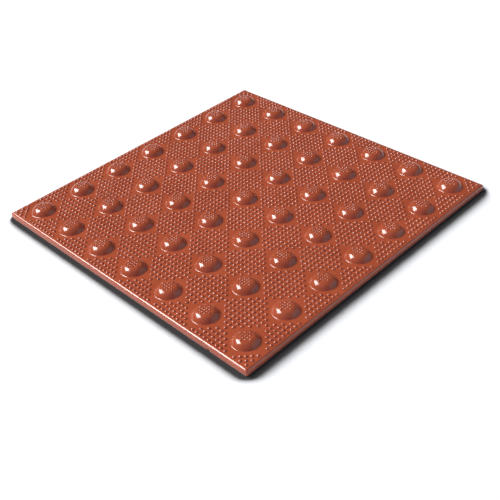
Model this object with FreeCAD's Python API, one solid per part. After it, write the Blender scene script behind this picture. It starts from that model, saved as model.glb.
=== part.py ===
import FreeCAD, Part
import os

# Tactile paving slab, moulded in one piece: a thin square plate with a rounded upper rim
# and a square grid of flat-topped warning domes. Millimetres, +Z up: the underside lies on
# Z = 0, and the origin is the middle of the underside.

# Plate
SIDE = 300.0
THICKNESS = 5.5
CORNER_RADIUS = 3.0  # in plan, at the four upright corners
RIM_RADIUS = 2.0  # round the edge of the upper face

# Warning domes
DOMES_PER_SIDE = 7
DOME_BASE_DIAMETER = 23.0
DOME_TOP_DIAMETER = 12.0
DOME_HEIGHT = 5.0

# The grid runs on without a break from one slab to the next, so its margin is half a pitch.
DOME_PITCH = SIDE / DOMES_PER_SIDE

UP = FreeCAD.Vector(0, 0, 1)


def plate():
    """Square plate with rounded upright corners and a rounded upper rim."""
    blank = Part.makeBox(SIDE, SIDE, THICKNESS, FreeCAD.Vector(-SIDE / 2, -SIDE / 2, 0))
    uprights = [edge for edge in blank.Edges if edge.BoundBox.ZLength > THICKNESS / 2]
    rounded = blank.makeFillet(CORNER_RADIUS, uprights)
    rim = [edge for edge in rounded.Edges if edge.BoundBox.ZMin > THICKNESS / 2]
    return rounded.makeFillet(RIM_RADIUS, rim)


def dome(place):
    """Flat-topped dome standing on the plate's upper face."""
    foot = place + UP * THICKNESS
    return Part.makeCone(DOME_BASE_DIAMETER / 2, DOME_TOP_DIAMETER / 2, DOME_HEIGHT, foot, UP)


def dome_places():
    """Middles of the domes, row by row from the corner nearest -X and -Y."""
    first = (DOME_PITCH - SIDE) / 2
    steps = [first + DOME_PITCH * index for index in range(DOMES_PER_SIDE)]
    return [FreeCAD.Vector(x, y, 0) for y in steps for x in steps]


def tactile_slab():
    """Plate and domes as one moulding."""
    domes = [dome(place) for place in dome_places()]
    return plate().multiFuse(domes).removeSplitter().Solids[0]


os.makedirs("parts", exist_ok=True)
tactile_slab().exportStep("parts/tactile_slab.step")
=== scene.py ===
import math

import bmesh
import bpy
from mathutils import Matrix, Quaternion, Vector


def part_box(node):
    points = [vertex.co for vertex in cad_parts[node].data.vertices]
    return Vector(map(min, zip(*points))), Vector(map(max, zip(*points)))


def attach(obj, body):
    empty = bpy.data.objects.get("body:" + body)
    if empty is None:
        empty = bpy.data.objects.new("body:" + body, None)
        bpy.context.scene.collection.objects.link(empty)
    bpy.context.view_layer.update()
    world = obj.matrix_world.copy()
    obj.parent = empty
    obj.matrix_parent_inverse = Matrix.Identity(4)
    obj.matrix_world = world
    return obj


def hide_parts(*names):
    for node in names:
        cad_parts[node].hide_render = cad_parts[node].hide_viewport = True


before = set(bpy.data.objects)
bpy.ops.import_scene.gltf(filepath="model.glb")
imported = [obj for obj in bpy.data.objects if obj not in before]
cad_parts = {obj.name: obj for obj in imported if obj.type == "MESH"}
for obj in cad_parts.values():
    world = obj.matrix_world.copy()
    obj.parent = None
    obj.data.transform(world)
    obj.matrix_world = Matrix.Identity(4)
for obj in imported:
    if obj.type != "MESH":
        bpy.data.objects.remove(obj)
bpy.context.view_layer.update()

# The slab: a thin square plate with its warning domes, pressed in one mould from a filled red
# compound. The mould rounds the rim, which is mitred at the corners, and gives each dome a
# ball-shaped flank, a root radius and a soft shoulder. It lies loose on its flat underside.
MM = 0.001
slab_low, slab_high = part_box("tactile_slab")
side = slab_high.x - slab_low.x
domes_per_side = 7
pitch = side / domes_per_side
first_dome = slab_low.x + pitch / 2

dome_height = 5.0 * MM
dome_base_radius = 11.2 * MM  # where the ball of the flank would meet the plate
dome_top_radius = 6.4 * MM  # where it would meet the flat top
root_radius = 1.0 * MM
shoulder_radius = 5.5 * MM
dome_sides = 48
root_steps = 4
flank_steps = 4
shoulder_steps = 7
flat_strip = 0.6 * MM  # level strip beside a rounding, which keeps the plate's shading flat

plate_top = slab_high.z - dome_height
half_thickness = (slab_low.z + plate_top) / 2
rim_radius = 2.0 * MM
rim_segments = 6
lower_edge_radius = 0.3 * MM
lower_edge_segments = 2
corner_radius = 0.8 * MM  # on the uprights and up the mitres of the rim
corner_segments = 4
strip_reach = side / 2 - rim_radius - flat_strip  # from the middle to the strip beside the rim

nick_place = slab_low.x + 260.5 * MM
nick_length = 3.4 * MM
nick_depth = 0.8 * MM
nick_slant = Vector((0, 0.6, 1))  # up the wall and into it
nick_cuts = 8
nick_strip = 2.0 * MM  # strip of the underside, along the wall, that takes up the nick

deep_red = (0.400, 0.075, 0.028, 1.0)
light_red = (0.470, 0.094, 0.037, 1.0)
noise_low, noise_high = 0.3, 0.7  # most values of a noise lie between these
coat_weight = 0.8  # of the gloss on the upper face and the domes
coat_start = 2.5 * MM  # height on the wall at which the gloss sets in
coat_full = 4.2 * MM

WELD = 0.01 * MM
SQUARE = math.radians(60)  # edges that bend by more than this are the square ones to be rounded
SHARP = math.radians(32)  # edges of the finished slab that bend by more stay sharp in its shading
LEVEL = 0.999  # a level face's normal rises or falls by at least this
UPRIGHT = 0.001  # an upright face's normal rises or falls by less than this
RISING = 0.1  # the normals of the rim and the upper face rise by more than this


def node(tree, kind, inputs, **settings):
    """A shader node; an input is a value, or a pair of another node and its output."""
    made = tree.nodes.new(kind)
    for name, value in settings.items():
        setattr(made, name, value)
    for name, value in inputs.items():
        if isinstance(value, tuple) and isinstance(value[0], bpy.types.Node):
            tree.links.new(value[0].outputs[value[1]], made.inputs[name])
        else:
            made.inputs[name].default_value = value
    return made


def moulded_red():
    """Red compound with faint clouding and a fine grain, and a gloss that thins out down the wall."""
    material = bpy.data.materials.new("moulded_red")
    material.use_nodes = True
    tree = material.node_tree
    shader = tree.nodes["Principled BSDF"]
    shader.inputs["IOR"].default_value = 1.5
    shader.inputs["Coat Roughness"].default_value = 0.08
    place = node(tree, "ShaderNodeTexCoord", {})
    clouds = node(tree, "ShaderNodeTexNoise",
                  {"Vector": (place, "Object"), "Scale": 45.0, "Detail": 4.0, "Roughness": 0.55})
    grain = node(tree, "ShaderNodeTexNoise",
                 {"Vector": (place, "Object"), "Scale": 1100.0, "Detail": 2.0, "Roughness": 0.6})

    tone = node(tree, "ShaderNodeValToRGB", {"Fac": (clouds, "Fac")})
    tone.color_ramp.elements[0].position = noise_low
    tone.color_ramp.elements[0].color = deep_red
    tone.color_ramp.elements[1].position = noise_high
    tone.color_ramp.elements[1].color = light_red
    flecks = node(tree, "ShaderNodeMapRange",
                  {"Value": (grain, "Fac"), "From Min": noise_low, "From Max": noise_high,
                   "To Min": 0.9, "To Max": 1.1})
    flecked = node(tree, "ShaderNodeVectorMath",
                   {0: (tone, "Color"), 1: (flecks, "Result")}, operation="MULTIPLY")
    tree.links.new(flecked.outputs["Vector"], shader.inputs["Base Color"])

    spot = node(tree, "ShaderNodeSeparateXYZ", {"Vector": (place, "Object")})
    coat = node(tree, "ShaderNodeMapRange",
                {"Value": (spot, "Z"), "From Min": coat_start, "From Max": coat_full,
                 "To Min": 0.0, "To Max": coat_weight})
    tree.links.new(coat.outputs["Result"], shader.inputs["Coat Weight"])
    gloss = node(tree, "ShaderNodeMapRange",
                 {"Value": (clouds, "Fac"), "From Min": noise_low, "From Max": noise_high,
                  "To Min": 0.14, "To Max": 0.22})
    tree.links.new(gloss.outputs["Result"], shader.inputs["Roughness"])
    skin = node(tree, "ShaderNodeBump",
                {"Height": (grain, "Fac"), "Strength": 0.15, "Distance": 0.05 * MM})
    tree.links.new(skin.outputs["Normal"], shader.inputs["Normal"])
    return material


def only_vertices(geometry):
    return [part for part in geometry if isinstance(part, bmesh.types.BMVert)]


def arc(shape, start, centre, turn, steps):
    """Carries a profile in the XZ plane on round a centre, from +X towards +Z; returns its new end."""
    made = bmesh.ops.spin(shape, geom=[start], cent=centre, axis=(0, -1, 0), dvec=(0, 0, 0),
                          angle=turn, steps=steps)
    return only_vertices(made["geom_last"])[0]


def line(shape, start, end):
    """Carries a profile on in a straight line; returns its new end."""
    drawn = bmesh.ops.extrude_vert_indiv(shape, verts=[start])["verts"][0]
    drawn.co = end
    return drawn


def turned(shape, sides):
    """Spins a profile round the Z axis and closes its seam and its pole."""
    bmesh.ops.spin(shape, geom=shape.verts[:] + shape.edges[:], cent=(0, 0, 0), axis=(0, 0, 1),
                   dvec=(0, 0, 0), angle=math.tau, steps=sides, use_merge=True)
    bmesh.ops.remove_doubles(shape, verts=shape.verts, dist=WELD)
    bmesh.ops.recalc_face_normals(shape, faces=shape.faces)


def as_mesh(shape, name):
    mesh = bpy.data.meshes.new(name)
    shape.to_mesh(mesh)
    shape.free()
    return mesh


def joined_copies(pattern, places):
    """One shape made of a copy of a pattern's mesh at each place."""
    joined = bmesh.new()
    for place in places:
        pattern.transform(Matrix.Translation(place))
        joined.from_mesh(pattern)
        pattern.transform(Matrix.Translation(-place))
    bpy.data.meshes.remove(pattern)
    return joined


def add_piece(shape, name, material, sharp_angle):
    """Smooth-shaded piece of the slab, in the material given."""
    mesh = as_mesh(shape, name)
    mesh.materials.append(material)
    mesh.shade_smooth()
    mesh.set_sharp_from_angle(angle=sharp_angle)
    piece = bpy.data.objects.new(name, mesh)
    bpy.context.scene.collection.objects.link(piece)
    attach(piece, "root")
    return piece


def dome_cell():
    """One dome on its square of plate, with the plate's upper face at Z = 0."""
    ball_z = (dome_top_radius**2 + dome_height**2 - dome_base_radius**2) / (2 * dome_height)
    ball_radius = math.hypot(dome_base_radius, ball_z)
    root_rise = root_radius - ball_z
    foot_radius = math.sqrt((ball_radius + root_radius) ** 2 - root_rise**2)
    root_lean = math.atan2(root_rise, foot_radius)
    shoulder_z = dome_height - shoulder_radius
    shoulder_rise = shoulder_z - ball_z
    flat_radius = math.sqrt((ball_radius - shoulder_radius) ** 2 - shoulder_rise**2)
    shoulder_lean = math.atan2(shoulder_rise, flat_radius)
    quarter = math.pi / 2

    cell = bmesh.new()
    outer = cell.verts.new((foot_radius + flat_strip, 0, 0))
    foot = line(cell, outer, (foot_radius, 0, 0))
    root_end = arc(cell, foot, (foot_radius, 0, root_radius), root_lean - quarter, root_steps)
    flank_end = arc(cell, root_end, (0, 0, ball_z), shoulder_lean - root_lean, flank_steps)
    flat_edge = arc(cell, flank_end, (flat_radius, 0, shoulder_z), quarter - shoulder_lean, shoulder_steps)
    flat_ring = line(cell, flat_edge, (flat_radius - flat_strip, 0, dome_height))
    line(cell, flat_ring, (0, 0, dome_height))
    turned(cell, dome_sides)

    rim = [edge for edge in cell.edges if edge.is_boundary]
    grown = bmesh.ops.extrude_edge_only(cell, edges=rim)
    for corner in only_vertices(grown["geom"]):
        corner.co *= pitch / 2 / max(abs(corner.co.x), abs(corner.co.y))
    return as_mesh(cell, "dome_cell")


def round_edges(shape, edges, radius, segments):
    bmesh.ops.bevel(shape, geom=edges, offset=radius, offset_type="OFFSET", segments=segments,
                    profile=0.5, affect="EDGES", clamp_overlap=False, material=-1)


def on_corner(vert):
    """Whether a vertex lies on a diagonal of the plate, outside the strip beside the rim."""
    return abs(vert.co.x) > strip_reach and abs(abs(vert.co.x) - abs(vert.co.y)) < WELD


def cut(shape, faces, place, direction):
    """Adds an edge loop where a plane passes through some faces."""
    edges = {edge for face in faces for edge in face.edges}
    verts = {vert for face in faces for vert in face.verts}
    bmesh.ops.bisect_plane(shape, geom=[*faces, *edges, *verts], dist=WELD,
                           plane_co=place, plane_no=direction)


dome_places = [
    Vector((first_dome + pitch * column, first_dome + pitch * row, plate_top))
    for row in range(domes_per_side)
    for column in range(domes_per_side)
]
slab_shape = joined_copies(dome_cell(), dome_places)
bmesh.ops.remove_doubles(slab_shape, verts=slab_shape.verts, dist=WELD)

upper_edge = [edge for edge in slab_shape.edges if edge.is_boundary]
walls = bmesh.ops.extrude_edge_only(slab_shape, edges=upper_edge)
bmesh.ops.translate(slab_shape, verts=only_vertices(walls["geom"]), vec=(0, 0, slab_low.z - plate_top))
lower_edge = [edge for edge in slab_shape.edges if edge.is_boundary]
bmesh.ops.contextual_create(slab_shape, geom=lower_edge)
bmesh.ops.recalc_face_normals(slab_shape, faces=slab_shape.faces)

square_edges = [edge for edge in slab_shape.edges if edge.calc_face_angle() > SQUARE]
rim_edges = [edge for edge in square_edges if all(vert.co.z > half_thickness for vert in edge.verts)]
foot_edges = [edge for edge in square_edges if all(vert.co.z < half_thickness for vert in edge.verts)]
round_edges(slab_shape, rim_edges, rim_radius, rim_segments)
round_edges(slab_shape, foot_edges, lower_edge_radius, lower_edge_segments)
corner_edges = [edge for edge in slab_shape.edges if all(on_corner(vert) for vert in edge.verts)]
round_edges(slab_shape, corner_edges, corner_radius, corner_segments)

for direction in (Vector((1, 0, 0)), Vector((-1, 0, 0)), Vector((0, 1, 0)), Vector((0, -1, 0))):
    field = [face for face in slab_shape.faces if face.normal.z > LEVEL]
    cut(slab_shape, field, direction * strip_reach, direction)
upright_faces = [face for face in slab_shape.faces if abs(face.normal.z) < UPRIGHT]
cut(slab_shape, upright_faces, Vector((0, 0, plate_top - rim_radius - flat_strip)), Vector((0, 0, 1)))

underside = [face for face in slab_shape.faces if face.normal.z < -LEVEL]
cut(slab_shape, underside, Vector((0, slab_low.y + nick_strip, 0)), Vector((0, 1, 0)))
for step in range(nick_cuts + 1):
    near_wall = [
        face for face in slab_shape.faces
        if face.calc_center_median().y < slab_low.y + nick_strip and face.normal.z < RISING
    ]
    nick_x = nick_place + nick_length * (step / nick_cuts - 0.5)
    cut(slab_shape, near_wall, Vector((nick_x, 0, 0)), Vector((1, 0, 0)))
for vert in slab_shape.verts:
    across = 2 * (vert.co.x - nick_place) / nick_length
    at_edge = vert.co.y < slab_low.y + flat_strip and vert.co.z < slab_low.z + 2 * lower_edge_radius
    if at_edge and abs(across) < 1:
        vert.co += nick_slant * nick_depth * (1 - across**2)

slab_material = moulded_red()
slab = add_piece(slab_shape, "slab", slab_material, SHARP)
for face in slab.data.polygons:
    if face.normal.z < -LEVEL:
        face.use_smooth = False  # the underside is flat up to the nick
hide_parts("tactile_slab")

# Grip studs: small round-topped studs all over the plate between the domes, moulded with it. They
# stand on a square lattice that divides the domes' pitch by ten, keep clear of each dome by a
# diamond, and fill the four corners of the slab in a triangle that points outwards.
steps_per_pitch = 10
stud_unit = pitch / steps_per_pitch
stud_clearance = 5  # steps from a dome's middle, along the lattice, to the nearest stud
stud_margin = 4  # lattice rows outside the outer domes
corner_rows = 3
stud_radius = 1.7 * MM
stud_height = 1.1 * MM
stud_sink = 0.2 * MM  # how far a stud's closed foot reaches into what carries it
stud_sides = 10
stud_steps = 3
stud_sharp_angle = math.radians(60)  # keeps the hidden rim of the foot sharp


def stud(radius, height):
    """A cap of a ball that stands on Z = 0 and reaches a little below it."""
    ball_radius = (radius**2 + height**2) / (2 * height)
    ball_z = height - ball_radius
    foot_radius = math.sqrt(ball_radius**2 - (stud_sink + ball_z) ** 2)
    foot_lean = math.atan2(-stud_sink - ball_z, foot_radius)
    shape = bmesh.new()
    middle = shape.verts.new((0, 0, -stud_sink))
    foot = line(shape, middle, (foot_radius, 0, -stud_sink))
    arc(shape, foot, (0, 0, ball_z), math.pi / 2 - foot_lean, stud_steps)
    turned(shape, stud_sides)
    return as_mesh(shape, "stud")


def steps_to_dome(index):
    """Lattice steps from a row of the lattice to the nearest row of domes."""
    nearest = min(max(round(index / steps_per_pitch), 0), domes_per_side - 1)
    return abs(index - steps_per_pitch * nearest)


def corner_places():
    """The studs in the slab's corners: rows of one, three and five across each diagonal."""
    places = []
    reach = stud_margin * math.sqrt(2)
    for turn in range(4):
        outward = Vector((1, 1, 0)).normalized()
        outward.rotate(Quaternion((0, 0, 1), turn * math.pi / 2))
        across = outward.cross(Vector((0, 0, 1)))
        dome = Vector((math.copysign(first_dome, outward.x), math.copysign(first_dome, outward.y), plate_top))
        for row in range(corner_rows):
            for place in range(-row, row + 1):
                places.append(dome + stud_unit * ((reach - row) * outward + place * across))
    return places


last_step = steps_per_pitch * (domes_per_side - 1)
lattice = range(-stud_margin, last_step + stud_margin + 1)
inner = range(0, last_step + 1)
field_places = [
    Vector((first_dome + stud_unit * column, first_dome + stud_unit * row, plate_top))
    for row in lattice
    for column in lattice
    if steps_to_dome(row) + steps_to_dome(column) >= stud_clearance and (row in inner or column in inner)
]
grip_shape = joined_copies(stud(stud_radius, stud_height), field_places + corner_places())
add_piece(grip_shape, "grip_studs", slab_material, stud_sharp_angle)

# Dome-top studs: thirteen finer studs on the flat of every dome, moulded with it, in a diamond
# square to the slab's edges with one stud on the dome's axis.
top_stud_pitch = 2.5 * MM
top_stud_reach = 2  # steps from the dome's axis, along the lattice, to the outermost studs
top_stud_radius = 1.1 * MM
top_stud_height = 0.6 * MM

top_steps = range(-top_stud_reach, top_stud_reach + 1)
top_places = [
    dome + Vector((top_stud_pitch * column, top_stud_pitch * row, dome_height))
    for dome in dome_places
    for row in top_steps
    for column in top_steps
    if abs(row) + abs(column) <= top_stud_reach
]
top_shape = joined_copies(stud(top_stud_radius, top_stud_height), top_places)
add_piece(top_shape, "dome_top_studs", slab_material, stud_sharp_angle)

# Floor: a plain pale sheet that the slab lies on, a hair below its underside. It takes the cast
# shadow, and a soft contact shadow is painted into its colour: it is found by ambient occlusion,
# leans to the near right, and shows fully to the camera and at half strength in reflections.
# Further out it glows to the camera and in reflections, so that it stays white.
floor_half_side = 20.0
floor_gap = 0.2 * MM
floor_white = 0.92
contact_reach = 24.0 * MM
contact_lean = {"X": -0.35, "Y": 0.14, "Z": 0.93}
contact_samples = 48
contact_dark = 0.045
open_at_wall = 0.826  # share of the sky that the floor sees where the contact shadow is darkest
open_at_end = 0.935  # and where it ends
contact_in_reflections = 0.5
glow_near = 0.18
glow_start = 0.4  # distance from the slab's middle at which the floor begins to glow more
glow_full = 1.5

floor_shape = bmesh.new()
bmesh.ops.create_grid(floor_shape, x_segments=1, y_segments=1, size=floor_half_side)
floor_mesh = as_mesh(floor_shape, "floor")
floor_mesh.transform(Matrix.Translation((0, 0, slab_low.z - floor_gap)))
floor_paint = bpy.data.materials.new("floor_paint")
floor_paint.use_nodes = True
paint = floor_paint.node_tree
paint.nodes.remove(paint.nodes["Principled BSDF"])

# Painted contact shadow: ambient occlusion darkens the floor's colour, not a lamp's shadow
lean = node(paint, "ShaderNodeCombineXYZ", contact_lean)
contact = node(paint, "ShaderNodeAmbientOcclusion",
               {"Distance": contact_reach, "Normal": (lean, "Vector")}, samples=contact_samples)
shadow = node(paint, "ShaderNodeMapRange",
              {"Value": (contact, "AO"), "From Min": open_at_wall, "From Max": open_at_end,
               "To Min": contact_dark, "To Max": 1.0})
rays = node(paint, "ShaderNodeLightPath", {})
strength = node(paint, "ShaderNodeMath",
                {0: (rays, "Is Glossy Ray"), 1: contact_in_reflections, 2: (rays, "Is Camera Ray")},
                operation="MULTIPLY_ADD")
# the painted shadow reaches the camera fully and reflections at half strength
shaded = node(paint, "ShaderNodeMix", {"Factor": (strength, "Value"), "A": 1.0, "B": (shadow, "Result")})
tint = node(paint, "ShaderNodeMath", {0: (shaded, "Result"), 1: floor_white}, operation="MULTIPLY")
matt_white = node(paint, "ShaderNodeBsdfDiffuse", {"Color": (tint, "Value")})

spread = node(paint, "ShaderNodeTexCoord", {})
distance = node(paint, "ShaderNodeVectorMath", {0: (spread, "Object")}, operation="LENGTH")
whitening = node(paint, "ShaderNodeMapRange",
                 {"Value": (distance, "Value"), "From Min": glow_start, "From Max": glow_full,
                  "To Min": glow_near, "To Max": 1.0})
seen = node(paint, "ShaderNodeMath",
            {0: (rays, "Is Camera Ray"), 1: (rays, "Is Glossy Ray")}, operation="MAXIMUM")
seen_clear = node(paint, "ShaderNodeMath",
                  {0: (seen, "Value"), 1: (rays, "Is Transmission Ray")}, operation="MAXIMUM")
glow = node(paint, "ShaderNodeMath",
            {0: (whitening, "Result"), 1: (seen_clear, "Value")}, operation="MULTIPLY")
glow_shaded = node(paint, "ShaderNodeMath",
                   {0: (glow, "Value"), 1: (shaded, "Result")}, operation="MULTIPLY")
white = node(paint, "ShaderNodeEmission", {"Strength": (glow_shaded, "Value")})
both = node(paint, "ShaderNodeAddShader", {0: (matt_white, "BSDF"), 1: (white, "Emission")})
paint.links.new(both.outputs["Shader"], paint.nodes["Material Output"].inputs["Surface"])
floor_mesh.materials.append(floor_paint)
floor = bpy.data.objects.new("floor", floor_mesh)
bpy.context.scene.collection.objects.link(floor)

# Light: one large softbox to the left of the camera, and a dim room with a paler right side and a
# bluish patch above the camera. The room is plain white where the camera looks past the floor.
key_direction = Vector((-0.57, -0.35, 0.74)).normalized()
key_distance = 5.0
key_size = (3.7, 2.5)
key_power = 360.0

room_colour = (0.04, 0.045, 0.06, 1.0)
right_direction = Vector((0.88, 0.45, -0.15))
right_colour = (0.46, 0.47, 0.54, 1.0)
near_direction = Vector((0.45, -0.50, 0.74))
near_colour = (0.05, 0.08, 0.17, 1.0)
white_colour = (1.0, 1.0, 1.0, 1.0)
mix_first, mix_second, mix_result = 6, 7, 2  # the colour sockets of a Mix node

key_light = bpy.data.lights.new("key", "AREA")
key_light.shape = "RECTANGLE"
key_light.size, key_light.size_y = key_size
key_light.energy = key_power
key = bpy.data.objects.new("key", key_light)
key.location = key_direction * key_distance
key.rotation_euler = key_direction.to_track_quat("Z", "Y").to_euler()
bpy.context.scene.collection.objects.link(key)

room = bpy.data.worlds.new("room")
room.use_nodes = True
bpy.context.scene.world = room
walls_paint = room.node_tree
sky = node(walls_paint, "ShaderNodeTexCoord", {})


def patch(direction, start, full):
    """How far, from 0 to 1, a patch of the room round a direction shows."""
    facing = node(walls_paint, "ShaderNodeVectorMath",
                  {0: (sky, "Generated"), 1: direction}, operation="DOT_PRODUCT")
    return node(walls_paint, "ShaderNodeMapRange",
                {"Value": (facing, "Value"), "From Min": start, "From Max": full,
                 "To Min": 0.0, "To Max": 1.0}, interpolation_type="SMOOTHSTEP")


def mixed(share, first, second):
    """Mix of two colours, of which the first may be another mix."""
    return node(walls_paint, "ShaderNodeMix",
                {"Factor": share, mix_first: first, mix_second: second}, data_type="RGBA")


right_patch = patch(right_direction, start=0.35, full=0.8)
near_patch = patch(near_direction, start=0.55, full=0.95)
right_side = mixed((right_patch, "Result"), room_colour, right_colour)
whole_room = mixed((near_patch, "Result"), (right_side, mix_result), near_colour)
looks = node(walls_paint, "ShaderNodeLightPath", {})
backdrop = mixed((looks, "Is Camera Ray"), (whole_room, mix_result), white_colour)
walls_paint.links.new(backdrop.outputs[mix_result], walls_paint.nodes["Background"].inputs["Color"])

# Camera: above the slab's near corner and rolled a little, as in the photograph. Its place, aim,
# roll and lens were worked out from the slab's corners and the grid of domes.
camera_place = Vector((455.96, -417.22, 426.83)) * MM
camera_aim = Vector((55.86, -50.45, 5.5)) * MM
camera_roll = math.radians(-4.82)
focal_length = 60.10
sensor_width = 36.0

lens = bpy.data.cameras.new("camera")
lens.sensor_width = sensor_width
lens.lens = focal_length
camera = bpy.data.objects.new("camera", lens)
camera.location = camera_place
unrolled = (camera_aim - camera_place).to_track_quat("-Z", "Y")
camera.rotation_euler = (unrolled @ Quaternion((0, 0, 1), camera_roll)).to_euler()
bpy.context.scene.collection.objects.link(camera)
bpy.context.scene.camera = camera

bpy.context.scene.view_settings.view_transform = "Standard"
